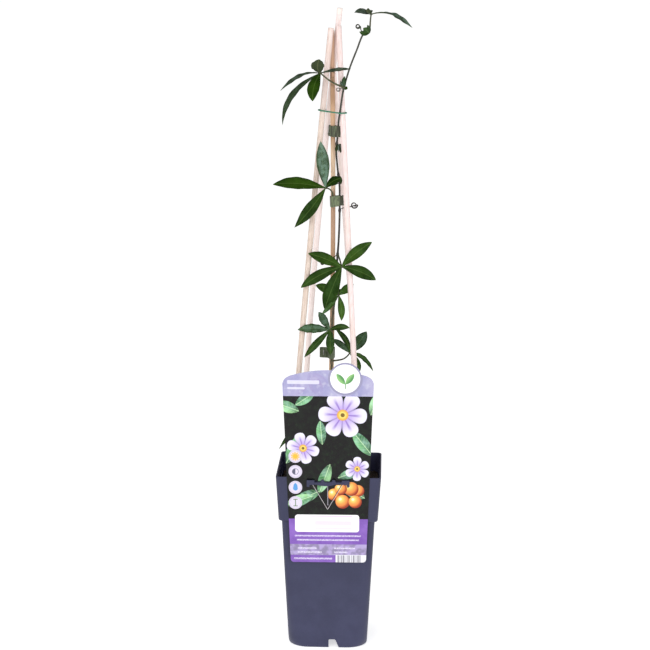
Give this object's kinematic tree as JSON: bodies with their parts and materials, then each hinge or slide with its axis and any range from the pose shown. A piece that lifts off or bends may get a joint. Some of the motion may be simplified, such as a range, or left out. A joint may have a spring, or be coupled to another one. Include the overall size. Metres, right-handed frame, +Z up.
{
  "type": "potted climbing passion flower plant",
  "caption": "Young climbing vine taped to a cane inside a tied pyramid of canes, in a tall square nursery pot with soil and a picture card on its rim.",
  "frame": {"origin": "bottom centre of the whole plant's bounding box, on the surface that the pot stands on", "axes": "+Z up, the picture card on the -Y side, and +X to the right of someone who looks at the card"},
  "size_m": [0.1408, 0.1186, 0.6713],
  "materials": {
    "pot_plastic": "fine moulded satin",
    "soil": "crumbly moist compost",
    "cane_pale": "sanded pale wood",
    "cane_tan": "smooth tan cane",
    "stem": "dark satin bark",
    "leaf": "waxy with veins",
    "tie": "smooth elastic",
    "tape": "thin soft film",
    "staple": "drawn wire",
    "card": "printed laminated card"
  },
  "bodies": {
    "root": {"pot": "pot_plastic", "soil": "soil", "cane_front_left": "cane_pale", "cane_back_left": "cane_pale", "cane_front_right": "cane_pale", "cane_back_right": "cane_pale", "cane_centre": "cane_tan", "stem": "stem", "leaf_1": "leaf", "leaf_2": "leaf", "leaf_3": "leaf", "leaf_4": "leaf", "leaf_5": "leaf", "leaf_6": "leaf", "leaf_7": "leaf", "leaf_8": "leaf", "tie_ring": "tie", "tape_low": "tape", "staple_low": "staple", "tape_middle": "tape", "staple_middle": "staple", "tape_high": "tape", "staple_high": "staple", "label_card": "card"}
  },
  "joints": []
}
